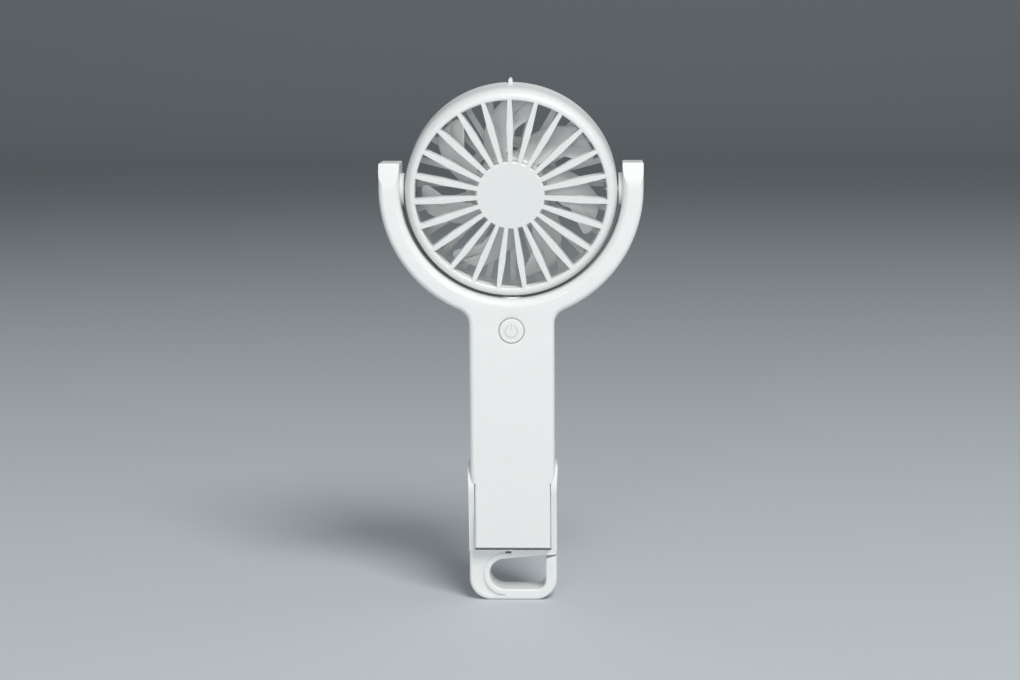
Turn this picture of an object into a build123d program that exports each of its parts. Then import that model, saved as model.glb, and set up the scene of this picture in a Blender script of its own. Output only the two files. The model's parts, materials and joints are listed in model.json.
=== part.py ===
from build123d import *

import math
import os

# Rechargeable hand fan: a round fan head that turns over inside a U-shaped yoke on a flat handle, with a
# carabiner loop under the handle. The loop's two arms hinge on the handle's sides, so that it folds back
# as a stand.
#
# Frame: +Z up, +X to the right, the fan blows towards -Y. The origin is the centre of the loop's flat
# underside.
# All lengths are millimetres and all angles are degrees.

# --- Fits -----------------------------------------------------------------------------------------
running_gap = 0.08  # radial clearance of a pin or shaft in its bore
seat_gap = 0.05  # clearance round a piece that is held still in its seat
screw_gap = 0.02  # clearance round a self-tapping shank in its pilot hole
side_gap = 0.3  # free space beside a face that moves past another
near = 0.01  # edges this close to a place are picked out by it
overcut = 1.0  # how far a cutting shape runs past the face it starts from
bite = 0.5  # how far a boss or tube runs into the wall that carries it
beyond = 250.0  # longer than the whole fan, for shapes that are trimmed

# --- Handle and yoke shells -----------------------------------------------------------------------
handle_width = 36.2
body_depth = 22.4  # front to back, the same on handle and yoke
wall = 1.6
front_edge_r = 2.2
yoke_inner_edge_r = 3.0  # front edge of the yoke beside the head
rear_edge_r = 3.0
yoke_rise = 0.8  # the yoke's arcs are centred this far above the pivot
yoke_width = 8.7  # across each arm, seen from the front
head_side_gap = 2.15  # between the head's rim and the yoke's arms
neck_r = 7.0  # concave blend between handle and yoke
arm_rise = 11.6  # the yoke's arms end this far above the pivot
arm_crease_rise = 2.9  # the front face starts to lean back this far above the pivot
arm_lean = 3.4  # depth that the leaning face has lost at the arm's end
arm_corner_r = 0.5
stop_pad_r = 4.5
stop_pad_height = 0.5
small_chamfer = 0.3  # on the stop pad and on the bushes' flanges

# --- Stand loop and its hinge ---------------------------------------------------------------------
eye_r = 11.1
eye_gap = 0.4  # pocket round the eye
stand_swing = 70.0  # how far the stand folds back
handle_floor_r = 27.4  # the handle's underside is an arc of this radius about the hinge
arm_thickness = 2.5
arm_gap = 0.15  # between the arms and the pockets' floors in the handle's sides
pocket_edge_r = 1.2  # front and rear edges of the handle between the arms
arm_room_depth = 40.0  # outwards of the pockets' floors, past both sides of the handle
tip_flare = 0.4  # the arms' upper ends stand out by this much
tip_chamfer = 1.7
tip_bevel = 0.8  # width that the chamfer takes off the flat side below it
flare_rise = 1.0  # the flare starts this far above the hinge
stub_r = 3.0
stub_reach = 0.4  # how far the hinge stubs run past the handle's wall
loop_overhang = 0.8  # how far the loop stands out past the handle's sides
loop_depth = 13.0
loop_corner_r = 9.5
loop_bar = 4.7  # bottom bar
left_post = 8.65
right_post = 4.9
eyelet_r = 6.7  # round left end of the opening
inner_corner_r = 3.8
crossbar_height = 3.4  # of the crossbar over the top of the eyelet
crossbar_horn = 3.0  # room over its lowest place, in which its hollow top rises to front and back
crossbar_gap = 0.6  # between the handle's underside and the crossbar
ceiling_angle = 5.3  # the crossbar's underside rises to the right by this angle
mouth_inner = 1.7  # height of the way in, at the opening's end
mouth_outer = 0.5  # and at the loop's right side
mouth_corner_r = 0.8
relief_slot = (2.8, 1.0)  # length and height of the slot that lets the crossbar flex
relief_slot_left = -3.5
relief_slot_drop = 0.45  # from the crossbar's top to the slot's middle
rim_width = 2.3  # raised rim round the eyelet
panel_depth = 0.8  # recess on the left post
panel_margin = 1.9  # between the loop's outside and the recess
panel_corner_r = 3.0
loop_edge_r = 1.2
opening_edge_r = 0.8

# --- Fan head, measured along its own axis from the pivot, positive towards the front -------------
head_tilt = 8.5  # the head looks down by this angle in the rest pose
head_r = 44.75
head_front = 12.0
head_rear = -12.5
bezel_width = 4.45  # of the front ring round the opening
bezel_round = (3.2, 6.7)  # width and depth of the rounded front edge
bezel_lip_depth = 5.0
bezel_bead_r = 0.5
head_seam = 4.2  # where the grille meets the rear housing
head_wall = 1.8
rear_round = (7.0, 7.6)  # width and depth of the rounded rear edge
lap_height = 2.0
lap_wall = 1.1
lap_root = 1.5  # how far the lap's inner face runs down past the seam
lap_slope = 1.0  # height over which it then meets the rim's inside
hub_disc_r = 14.35
hub_disc_thickness = 2.2
hub_disc_edge_r = 0.6
spoke_count = 23
spoke_end_width = 1.7
spoke_mid_width = 2.8
spoke_mid_out = 14.55  # from the disc's edge to the spoke's widest place
spoke_root = 0.6  # how far the spokes run into the disc and the ring
slot_count = 24
slot_inner_r = 20.2
slot_rim = 2.35  # between the slots' outer ends and the head's outside
bar_width = 2.4
skirt_r = 17.2
skirt_wall = 1.0
skirt_height = 2.1
nub_height = 2.2
nub_width = 1.7
nub_top_width = 0.765
nub_taper = 0.7  # height over which the nub narrows to its top
nub_length = 2.6
nub_axial = -3.3

# --- Impeller -------------------------------------------------------------------------------------
blade_count = 7
blade_tip_gap = 2.3  # between the blades' tips and the front opening
blade_thickness = 1.2
blade_sweep = 1.5  # degrees that the blade leans clockwise for each millimetre of radius
blade_corners = (7.0, 2.5)  # rounding of the tip's two corners, the leading one first
blade_trim = 0.1  # how far the trimming outline stands outside the sections' ends
blade_root = 0.4  # how far the blades run into the hub
blade_reach = 20.0  # along the shaft to both sides, past the blades, for the shapes that trim them
blade_start = -24.0  # angle of the first blade's middle at the hub, from the top, clockwise
impeller_hub_r = 15.4
impeller_hub_wall = 1.5
impeller_edge_r = 1.2
impeller_boss_wall = 1.6  # round the shaft
impeller_boss_height = 2.4
impeller_front = 7.6
impeller_rear = -8.6
# radius, width across the rotor, front edge and rear edge of each blade section
blade_sections = (
    (14.6, 10.2, 5.0, -6.4),
    (22.0, 13.4, 4.9, -6.2),
    (30.0, 16.2, 4.4, -5.6),
    (38.6, 18.6, 3.6, -4.6),
)

# --- Motor ----------------------------------------------------------------------------------------
shaft_r = 1.0
shaft_floor_gap = 0.3  # between the shaft and the housing's floor
shaft_end_gap = 0.2  # between the shaft and the end of its bore in the impeller
shaft_cover = 0.6  # of the impeller over the end of that bore
bearing_r = 2.5
bearing_length = 2.5
tube_wall = 0.85
tube_rise = 2.0  # of the bearing tube over the core
shoulder_wall = 0.6
board_seat_wall = 1.6
board_seat_height = 1.4
stator_r = 10.6
stator_low = -6.0
stator_height = 7.0
stator_poles = 6
pole_width = 3.0
pole_shoe = 1.6
pole_gap = 2.0  # between two shoes
core_ring = 1.6  # wall of the core's ring
coil_thickness = 1.2  # over the core's end faces
coil_side = 0.84  # and beside the pole
coil_ring_gap = 0.2  # between a coil and the core's ring
coil_gap = 0.4  # between a coil and the pole's shoe
air_gap = 0.6
magnet_thickness = 1.8
magnet_low = -7.4
magnet_high = 2.6
cup_wall = 0.8
cup_overhang = 0.3  # of the cup past the magnet
motor_board_r = 12.4
motor_board_thickness = 1.0
clip_thickness = 0.4
clip_floor_gap = 0.5  # between the clip and the housing's floor
clip_bearing_gap = 0.3  # and between the clip and the lower bearing
shaft_clip_r = 2.1
shaft_clip_mouth = 1.2

# --- Tilt pivots ----------------------------------------------------------------------------------
bush_flange_r = 7.0
bush_flange = 1.75
bush_flange_edge_r = 0.6
bush_wall = 0.95
bush_sleeve_rise = 0.6  # of the bush's sleeve past the arm's inner wall
pin_r = 3.4
pin_bore_r = 1.8
pin_flange_r = 5.2
pin_flange = 1.2
pivot_pad_depth = 1.6
pivot_pad_margin = 0.6  # of the pad round the pin's flange
pivot_pad_seam_gap = 0.4  # between the pad and the head's seam
pivot_washer = 0.5
pivot_clip = 0.7
pin_tail = 0.9  # past the clip
pin_groove = 0.5  # depth of the clip's groove
washer_wall = 1.5  # of the washer round the pin
clip_wall = 1.3  # of the clip outside the pin
clip_lip = 0.9  # the clip's mouth is this much narrower than the pin on each side
arm_play = 0.1

# --- Inside the handle ----------------------------------------------------------------------------
cell_r = 9.2
cell_length = 65.2
cell_rise = 5.5  # from the handle's underside to the cell
cell_edge_r = 0.5
cap_r = 3.2
cap_height = 0.8
foam_gap = 0.05  # between the foam strips and what they lie against
foam_width = 12.0
foam_length = 46.0
end_pad_r = 8.0
tab_width = 4.0
tab_thickness = 0.2
lead_r = 0.45
lead_gap = 0.05  # between a lead and what it lies against
lead_bend_r = 1.0
lead_landing = 2.5  # the cell's leads are soldered this far above the board's lower edge
tab_reach = 11.0
foot_tab_turn = -37.0  # the foot's tab points forward and right, past the front foam strip
arm_bend_r = 1.5
lead_centre_x = 1.0  # the lead's arc inside the yoke is centred this far right of the middle
lead_sweep = 81.0
neck_bend_r = 2.5
rim_bend_r = 3.0
board_width = 22.0
board_height = 28.5
board_thickness = 1.2
board_corner_r = 1.5
board_front = 1.2  # y of the board's front face
board_gap = 6.4  # between the cell's raised contact and the board
board_top_gap = 1.2  # between the board and the wall of the yoke over it
button_rise = 18.4  # from the board's lower edge to the button's middle
# inductor and large capacitor: radius, height, place right of the middle and above the board's lower edge
round_components = ((3.0, 2.8, -5.5, 5.5), (2.0, 5.0, 8.6, 9.4))
# charge controller and small capacitor: width, length, height and the same two places
square_components = ((5.0, 4.0, 1.3, 3.5, 5.0), (3.0, 1.6, 1.0, -6.5, 25.3))
button_r = 5.2
button_proud = 0.15
button_flange = 0.9
button_flange_wall = 1.1
button_bevel = 0.8
button_chamfer = 0.35
button_play = 0.1  # between the flange and the wall it rests against
mark_r = 2.95  # outside of the raised broken ring
mark_line = 0.7
mark_bar = 2.6  # length of the upright bar
mark_bar_drop = 1.1  # from the ring's top to the bar's middle
mark_height = 0.2
button_travel = 0.6
switch_size = 6.0
switch_body = 3.4
plunger_r = 1.7
plunger_height = 1.0
usb_width = 8.9
usb_height = 3.2
usb_corner_r = 1.55
usb_rise = 6.0  # from the board's lower edge to the socket's middle
usb_wall = 0.35
usb_hollow = 6.19  # depth of the socket's mouth
usb_recess = 0.4  # from the handle's back to the mouth
usb_tongue = (6.6, 0.7)  # width and thickness
usb_tongue_recess = 1.2  # from the mouth to the tongue's end
shank_r = 1.0
boss_r = 2.4
screw_head_r = 1.9
screw_head_height = 1.3
screw_sink = 1.4  # the heads lie this deep in the rear shell
screw_reach = 5.0  # how far a shell screw bites into the front shell
screw_tip_room = 0.5  # between a shell screw's point and the end of its pilot hole
board_screw_head = 1.2
board_screw_length = 6.0
board_pilot_floor = 0.6  # solid floor between the board posts' pilot holes and the rear wall
cell_screw_rise = 4.0  # the lower shell screws lie this far above the cell's lower end
board_screw_drop = 6.5  # the middle shell screws lie this far below the board's upper edge
board_screw_rise = 15.25  # the board's own screws lie this far above its lower edge

# --- Worked-out sizes -----------------------------------------------------------------------------
half_depth = body_depth / 2
half_width = handle_width / 2
pocket_r = eye_r + eye_gap
loop_half_width = half_width + loop_overhang
stand_inner = loop_half_width - arm_thickness
lower_half_width = stand_inner - arm_gap
eyelet_x = -loop_half_width + left_post + eyelet_r
eyelet_z = loop_bar + eyelet_r
crossbar_top_r = handle_floor_r + crossbar_gap
crossbar_z = eyelet_z + eyelet_r + crossbar_height
hinge_height = crossbar_z + crossbar_top_r
opening_right = loop_half_width - right_post
cell_low = hinge_height - handle_floor_r + cell_rise
cell_top = cell_low + cell_length
contact_top = cell_top + cap_height
board_low = contact_top + board_gap
board_top = board_low + board_height
button_height = board_low + button_rise
usb_centre_z = board_low + usb_rise
yoke_inner_r = head_r + head_side_gap
yoke_outer_r = yoke_inner_r + yoke_width
yoke_mid_r = (yoke_inner_r + yoke_outer_r) / 2
yoke_height = board_top + board_top_gap + wall + yoke_inner_r
pivot_height = yoke_height - yoke_rise
arm_top = pivot_height + arm_rise
seam_plane = Plane.XZ
opening_r = head_r - bezel_width
slot_outer_r = head_r - slot_rim
blade_tip_r = opening_r - blade_tip_gap
spoke_mid_r = hub_disc_r + spoke_mid_out
head_inner_r = head_r - head_wall
spoke_pitch = 360 / spoke_count
slot_pitch = 360 / slot_count
rear_face = head_rear + head_wall
tube_bore_r = bearing_r + seat_gap
tube_r = tube_bore_r + tube_wall
shoulder_r = tube_r + shoulder_wall
board_seat_r = shoulder_r + board_seat_wall
core_ring_r = tube_r + seat_gap + core_ring
motor_board_low = rear_face + board_seat_height
tube_top = stator_low + stator_height + tube_rise
shaft_top = impeller_front - shaft_cover - shaft_end_gap
stator_top = stator_low + stator_height
clip_low = rear_face + clip_floor_gap
magnet_inner_r = stator_r + air_gap
magnet_outer_r = magnet_inner_r + magnet_thickness
cup_inner_r = magnet_outer_r + seat_gap
cup_outer_r = cup_inner_r + cup_wall
bush_bore_r = pin_r + running_gap
bush_sleeve_r = bush_bore_r + bush_wall
sleeve_end = yoke_inner_r + wall + bush_sleeve_rise
pin_seat = head_inner_r - pivot_pad_depth
head_place = Location((0, 0, pivot_height), (90 + head_tilt, 0, 0))


# --- Small helpers --------------------------------------------------------------------------------
def rod(radius, low, high):
    """Round bar on the local Z axis from low to high."""
    return Pos(0, 0, low) * Cylinder(radius, high - low, align=(Align.CENTER, Align.CENTER, Align.MIN))


def tube(outer_r, inner_r, low, high):
    """Ring on the local Z axis from low to high."""
    return rod(outer_r, low, high) - rod(inner_r, low - overcut, high + overcut)


def cross_rod(radius, left, right, height):
    """Round bar along X at the given height, from x = left to x = right."""
    return Location((left, 0, height), (0, 90, 0)) * rod(radius, 0, right - left)


def deep_rod(radius, x, z, front, rear):
    """Round bar along Y at (x, z), from y = front to y = rear."""
    return Location((x, rear, z), (90, 0, 0)) * rod(radius, 0, rear - front)


def block(low, high):
    """Box between two opposite corners."""
    size = [b - a for a, b in zip(low, high)]
    return Pos(*low) * Box(*size, align=(Align.MIN, Align.MIN, Align.MIN))


def on_both_sides(piece):
    """The piece and its mirror image across the plane x = 0."""
    return piece, mirror(piece, about=Plane.YZ)


# --- Handle and yoke ------------------------------------------------------------------------------
def body_outline(inset):
    """Front view of handle and yoke together, smaller all round by inset."""
    half = half_width - inset
    inner = yoke_inner_r + inset
    outer = yoke_outer_r - inset
    floor = hinge_height - handle_floor_r + inset
    ceiling = yoke_height - math.sqrt(yoke_mid_r**2 - half**2)
    neck_z = yoke_height - math.sqrt(outer**2 - half**2)
    ring = Pos(0, yoke_height) * (Circle(outer) - Circle(inner))
    outline = ring & Pos(0, yoke_height - outer) * Rectangle(2 * outer, 2 * outer)
    arm_height = arm_top - inset - yoke_height
    for side in (-1, 1):
        arm_x = side * (inner + outer) / 2
        outline += Pos(arm_x, yoke_height + arm_height / 2) * Rectangle(outer - inner, arm_height)
    outline += Pos(0, (floor + ceiling) / 2) * Rectangle(2 * half, ceiling - floor)
    corners = [outline.vertices().sort_by_distance((side * half, neck_z, 0))[0] for side in (-1, 1)]
    return fillet(corners, neck_r + inset)


def beside_head(edge):
    """Whether an edge of the body lies on the inside of the yoke."""
    middle = edge.center()
    return math.hypot(middle.X, middle.Z - yoke_height) < yoke_mid_r


def half_body(inset, front):
    """One half of the closed body, from the seam plane to the front or to the rear."""
    depth = half_depth - inset
    half = extrude(seam_plane * body_outline(inset), amount=depth if front else -depth)
    face_y = -depth if front else depth
    rim = half.edges().filter_by_position(Axis.Y, face_y - near, face_y + near)
    rim = [edge for edge in rim if hinge_height < edge.center().Z < arm_top - inset - near]
    inner_r, outer_r = (yoke_inner_edge_r, front_edge_r) if front else (rear_edge_r, rear_edge_r)
    half = fillet([edge for edge in rim if not beside_head(edge)], outer_r - inset)
    rim = half.edges().filter_by_position(Axis.Y, face_y - near, face_y + near)
    rim = [edge for edge in rim if beside_head(edge) and edge.center().Z < arm_top - inset - near]
    return fillet(rim, inner_r - inset)


def under_arc(inset):
    """Everything above the handle's round underside."""
    upper = block((-beyond, -beyond, hinge_height), (beyond, beyond, arm_top + beyond))
    return upper + cross_rod(handle_floor_r - inset, -beyond, beyond, hinge_height)


def arm_taper():
    """Angle between the arm's side edges and its middle line, from the eye down to the crossbar."""
    return math.degrees(math.asin((eye_r - loop_depth / 2) / crossbar_top_r))


def swing_notch(radius):
    """Side view of the room that the arm's rear edge needs above the hinge when the stand is folded."""
    top = stand_swing - arm_taper()
    first = (radius * math.cos(math.radians(top)), radius * math.sin(math.radians(top)))
    run = hinge_height
    slope = math.radians(top - 90)
    last = (first[0] + run * math.cos(slope), first[1] + run * math.sin(slope))
    return Pos(0, hinge_height) * make_face(Polyline((0, 0), first, last, (0, last[1]), close=True))


def arm_room(inner, growth):
    """Rooms for the stand's arms on both sides, outside x = inner, grown all round for the cavity."""
    radius = pocket_r + growth
    outside = inner + arm_room_depth
    room = cross_rod(radius, inner, outside, hinge_height)
    room += block((inner, -body_depth, 0), (outside, body_depth, hinge_height))
    notch = extrude(Plane.YZ * swing_notch(radius), amount=outside)
    room += notch - block((-overcut, -beyond, -beyond), (inner, beyond, beyond))
    left, right = on_both_sides(room)
    return left + right


def narrow_core():
    """What stays of the handle between the two arms, with rounded front and rear edges."""
    return extrude(RectangleRounded(2 * lower_half_width, body_depth, pocket_edge_r), amount=pivot_height)


def leaning_faces():
    """Wedges that take the front and the back off the upper ends of the yoke's arms."""
    start = pivot_height + arm_crease_rise
    slope = arm_lean / (arm_top - start)
    reach = 2 * (arm_top - start)
    top = start + reach
    points = ((-half_depth, start), (-half_depth + slope * reach, top), (-half_depth - reach, top))
    wedge = extrude(Plane.YZ * make_face(Polyline(*points, close=True)), amount=beyond, both=True)
    return wedge, mirror(wedge, about=seam_plane)


def shell_blank(front):
    """Outside and cavity of one shell, before its bosses and holes."""
    outer = half_body(0, front) & under_arc(0)
    outer -= arm_room(lower_half_width - pocket_edge_r, 0) - narrow_core()
    cavity = half_body(wall, front) & under_arc(wall)
    cavity -= arm_room(lower_half_width - wall, wall)
    wedge = leaning_faces()[0 if front else 1]
    outer -= wedge
    ends = [edge for edge in outer.edges().filter_by(Axis.Y) if edge.center().Z > arm_top - near]
    outer = fillet(ends, arm_corner_r)
    lift = wall if front else -wall
    cavity -= Pos(0, lift, 0) * wedge
    return outer, cavity


def screw_places():
    """Places of the shell screws: two by the cell's foot, two beside the board, one in each arm's end."""
    low_x = lower_half_width - wall - boss_r + bite
    high_x = half_width - wall - boss_r + bite
    arm_z = arm_top - wall - boss_r + bite
    low_z = cell_low + cell_screw_rise
    high_z = board_top - board_screw_drop
    right = ((low_x, low_z), (high_x, high_z), (yoke_mid_r, arm_z))
    return [(side * x, z) for x, z in right for side in (-1, 1)]


def head_seat(z):
    """Depth of a shell screw's head at height z in the rear shell, which leans at the arms' ends."""
    lean = arm_lean * max(z - pivot_height - arm_crease_rise, 0) / (arm_rise - arm_crease_rise)
    return half_depth - lean - screw_sink


def bush_holes():
    """Bores and flat round seats in the arms' inner walls for the pivot bushes, split by the seam."""
    start = yoke_inner_r - 2 * overcut
    bore = cross_rod(bush_sleeve_r + seat_gap, start, yoke_inner_r + wall + 2 * overcut, pivot_height)
    bore += cross_rod(bush_flange_r + seat_gap, start, yoke_inner_r, pivot_height)
    left, right = on_both_sides(bore)
    return left + right


def stub_holes():
    """Bores in the pocket walls for the stand's hinge stubs, split by the seam."""
    start = lower_half_width - wall - overcut
    bore = cross_rod(stub_r + running_gap, start, lower_half_width + overcut, hinge_height)
    left, right = on_both_sides(bore)
    return left + right


def stop_pad(front):
    """Half of the round pad on the yoke's inner wall that the head's stop nub meets."""
    pad_base = yoke_height - yoke_inner_r
    pad = rod(stop_pad_r, pad_base - bite, pad_base + stop_pad_height)
    pad = chamfer(pad.faces().sort_by(Axis.Z)[-1].edges(), small_chamfer)
    keep = block((-beyond, -beyond if front else 0, 0), (beyond, 0 if front else beyond, beyond))
    return pad & keep


def front_shell():
    """Front half of handle and yoke, with the button's bore, screw bosses and hinge half-bores."""
    outer, cavity = shell_blank(True)
    shell = outer - cavity
    for x, z in screw_places():
        shell += deep_rod(boss_r, x, z, -half_depth + wall / 2, 0) & outer
        shell -= deep_rod(shank_r + screw_gap, x, z, -screw_reach - screw_tip_room, 0)
    shell += stop_pad(True)
    hole_r = button_r + side_gap
    hole = deep_rod(hole_r, 0, button_height, -half_depth - overcut, -half_depth + wall + overcut)
    bevel_place = Location((0, -half_depth, button_height), (90, 0, 0))
    bevel = bevel_place * Cone(hole_r, hole_r + 2 * button_bevel, button_bevel)
    return shell - hole - bevel - bush_holes() - stub_holes()


def rear_shell():
    """Rear half of handle and yoke, with through bosses, the socket's slot and hinge half-bores."""
    outer, cavity = shell_blank(False)
    shell = outer - cavity
    for x, z in screw_places():
        shell += deep_rod(boss_r, x, z, 0, half_depth - wall / 2) & outer
        shell -= deep_rod(shank_r + seat_gap, x, z, -overcut, half_depth + overcut)
        head_floor = head_seat(z) - screw_head_height
        shell -= deep_rod(screw_head_r + seat_gap, x, z, head_floor, half_depth + overcut)
    shell += stop_pad(False)
    for x, z in board_screw_places():
        shell += deep_rod(boss_r, x, z, board_front + board_thickness, half_depth - wall / 2)
        shell -= deep_rod(shank_r + screw_gap, x, z, 0, half_depth - wall - board_pilot_floor)
    slot = RectangleRounded(usb_width + 2 * side_gap, usb_height + 2 * side_gap, usb_corner_r + side_gap)
    slot_start = Location((0, half_depth + overcut, usb_centre_z), (90, 0, 0))
    slot_hole = extrude(slot_start * slot, amount=wall + 3 * overcut)
    return shell - slot_hole - bush_holes() - stub_holes()


def shell_screws():
    """Pan-head self-tapping screws that hold the two shells together."""
    screws = []
    for x, z in screw_places():
        head = deep_rod(screw_head_r, x, z, head_seat(z) - screw_head_height, head_seat(z))
        screws.append(head + deep_rod(shank_r, x, z, -screw_reach, head_seat(z) - screw_head_height))
    return screws


# --- Inside the handle ----------------------------------------------------------------------------
def battery_cell():
    """Round lithium cell standing on end, with its raised contact on top."""
    can = rod(cell_r, cell_low, cell_top)
    can = fillet(can.edges().filter_by(GeomType.CIRCLE), cell_edge_r)
    return can + rod(cap_r, cell_top, cell_top + cap_height)


def battery_pads():
    """Foam that holds the cell: a block under it, one over it, and strips in front of it and behind it."""
    floor_r = handle_floor_r - wall - foam_gap
    under = rod(end_pad_r, hinge_height - floor_r, cell_low - tab_thickness)
    under &= cross_rod(floor_r, -end_pad_r, end_pad_r, hinge_height)
    over = rod(end_pad_r, contact_top + tab_thickness, board_low)
    wall_y = half_depth - wall - foam_gap
    strip_low = (cell_low + cell_top - foam_length) / 2
    half_foam = foam_width / 2
    strip_top = strip_low + foam_length
    strip = block((-half_foam, -wall_y, strip_low), (half_foam, -cell_r / 2, strip_top))
    strip -= rod(cell_r + foam_gap, cell_low, cell_top)
    return [under, over, strip, mirror(strip, about=seam_plane)]


def battery_tabs():
    """Nickel strips on the cell's raised contact and under its foot, each reaching out to its lead."""
    half = tab_width / 2
    top = block((-tab_reach, -half, contact_top), (half, half, contact_top + tab_thickness))
    foot = block((-half, -half, cell_low - tab_thickness), (tab_reach, half, cell_low))
    return [top, Rot(0, 0, foot_tab_turn) * foot]


def lead(path):
    """Insulated lead along a wire path."""
    return sweep(Plane(path @ 0, z_dir=path % 0) * Circle(lead_r), path=path)


def battery_leads():
    """Leads from the cell's two tabs to the front of the control board."""
    solder_y = board_front - lead_gap
    solder_z = board_low + lead_landing
    reach = tab_reach - 2 * lead_r
    turn = math.radians(foot_tab_turn)
    foot_x = reach * math.cos(turn)
    foot_y = reach * math.sin(turn)
    top_start = (-reach, 0, contact_top + tab_thickness + lead_gap)
    foot_start = (foot_x, foot_y, cell_low + lead_gap)
    top_corner = (-reach, 0, solder_z)
    foot_corner = (foot_x, foot_y, solder_z)
    plus = FilletPolyline(top_start, top_corner, (-reach, solder_y, solder_z), radius=lead_bend_r)
    minus = FilletPolyline(foot_start, foot_corner, (foot_x, solder_y, solder_z), radius=2 * lead_bend_r)
    return [lead(plus), lead(minus)]


def handle_lead():
    """Two-core lead from the right pivot, round inside the right arm and down to the board's front."""
    bore_end = pin_steps()[2]
    bend_start = bore_end - lead_bend_r
    start = (yoke_inner_r + lead_gap, pivot_height)
    into_arm = JernArc((bend_start, pivot_height), (1, 0), arm_bend_r, -90)
    sweep_r = bend_start + arm_bend_r - lead_centre_x
    round_yoke = JernArc(into_arm @ 1, (0, -1), sweep_r, -lead_sweep)
    down = JernArc(round_yoke @ 1, round_yoke % 1, neck_bend_r, lead_sweep)
    route = seam_plane * Wire([Line(start, (bend_start, pivot_height)), into_arm, round_yoke, down])
    low = route @ 1
    landing_r = board_front - lead_gap
    onto_board = Plane(low, x_dir=(0, 1, 0), z_dir=(-1, 0, 0)) * JernArc((0, 0), (0, 1), landing_r, -90)
    return lead(Wire([*route.edges(), onto_board]))


def head_lead():
    """Two-core lead from the right pivot, inside the rim and along a bar of the grille to the motor."""
    rim_x = pin_seat - pin_flange - lead_r - lead_gap
    bar_z = rear_face + lead_r + lead_gap
    board_x = motor_board_r - lead_landing
    points = (
        (yoke_inner_r - lead_gap, 0, 0), (rim_x, 0, 0), (rim_x, 0, bar_z), (board_x, 0, bar_z),
        (board_x, 0, motor_board_low - lead_gap),
    )
    route = FilletPolyline(*points, radius=(arm_bend_r - 2 * lead_gap, rim_bend_r, 2 * lead_gap + lead_r))
    return head_place * lead(route)


def board_screw_places():
    """Places of the two screws that hold the control board on the rear shell's posts."""
    x = board_width / 2 - boss_r
    return [(side * x, board_low + board_screw_rise) for side in (-1, 1)]


def control_board():
    """Printed board behind the button, with two screw holes."""
    low = (-board_width / 2, board_front, board_low)
    high = (board_width / 2, board_front + board_thickness, board_low + board_height)
    board = block(low, high)
    board = fillet(board.edges().filter_by(Axis.Y), board_corner_r)
    for x, z in board_screw_places():
        board -= deep_rod(shank_r + seat_gap, x, z, low[1] - overcut, high[1] + overcut)
    return board


def board_screws():
    """Screws through the board into the rear shell's posts."""
    screws = []
    for x, z in board_screw_places():
        head = deep_rod(screw_head_r, x, z, board_front - board_screw_head, board_front)
        screws.append(head + deep_rod(shank_r, x, z, board_front, board_front + board_screw_length))
    return screws


def board_components():
    """Power inductor, charge controller and capacitors on the front of the board."""
    rounds = []
    for radius, height, x, rise in round_components:
        rounds.append(deep_rod(radius, x, board_low + rise, board_front - height, board_front))
    squares = []
    for width, length, height, x, rise in square_components:
        low = (x - width / 2, board_front - height, board_low + rise - length / 2)
        high = (x + width / 2, board_front, board_low + rise + length / 2)
        squares.append(block(low, high))
    inductor, large_capacitor = rounds
    charge_controller, small_capacitor = squares
    return [inductor, charge_controller, large_capacitor, small_capacitor]


def tact_switch():
    """Body of the push switch on the board, open in front for its plunger."""
    half = switch_size / 2
    low = (-half, board_front - switch_body, button_height - half)
    body = block(low, (half, board_front, button_height + half))
    well_floor = board_front - switch_body + plunger_height + button_travel
    return body - deep_rod(plunger_r + side_gap, 0, button_height, low[1] - overcut, well_floor)


def switch_plunger():
    """Round plunger of the push switch, which moves in with the button."""
    face = board_front - switch_body
    return deep_rod(plunger_r, 0, button_height, face - plunger_height, face + plunger_height - side_gap)


def power_button():
    """Round button with a raised broken ring and bar on its face, a flange behind the wall and a stem."""
    face = -half_depth - button_proud
    inner_wall = -half_depth + wall
    cap = deep_rod(button_r, 0, button_height, face, inner_wall + button_flange)
    cap = chamfer(cap.faces().sort_by(Axis.Y)[0].edges(), button_chamfer)
    flange_low = inner_wall + button_play
    flange_r = button_r + button_flange_wall
    cap += deep_rod(flange_r, 0, button_height, flange_low, flange_low + button_flange)
    stem_end = board_front - switch_body - plunger_height
    cap += deep_rod(plunger_r, 0, button_height, inner_wall, stem_end)
    mark = Circle(mark_r) - Circle(mark_r - mark_line)
    mark -= Pos(0, mark_r) * Rectangle(3 * mark_line, 2 * mark_r)
    mark += Pos(0, mark_r - mark_bar_drop) * Rectangle(mark_line, mark_bar)
    root = Location((0, face + mark_height, button_height), (90, 0, 0))
    return cap + extrude(root * mark, amount=2 * mark_height)


def usb_socket():
    """Charging socket with a metal mouth that faces the back, and its tongue."""
    rear = half_depth - usb_recess
    front = board_front + board_thickness
    outline = RectangleRounded(usb_width, usb_height, usb_corner_r)
    hollow = RectangleRounded(usb_width - 2 * usb_wall, usb_height - 2 * usb_wall, usb_corner_r - usb_wall)
    mouth = Location((0, rear, usb_centre_z), (90, 0, 0))
    case = extrude(mouth * outline, amount=rear - front)
    case -= extrude(mouth * hollow, amount=usb_hollow)
    tongue_width, tongue_height = usb_tongue
    tongue_low = (-tongue_width / 2, rear - usb_hollow - usb_wall, usb_centre_z - tongue_height / 2)
    tongue_high = (tongue_width / 2, rear - usb_tongue_recess, usb_centre_z + tongue_height / 2)
    return case + block(tongue_low, tongue_high)


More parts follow.
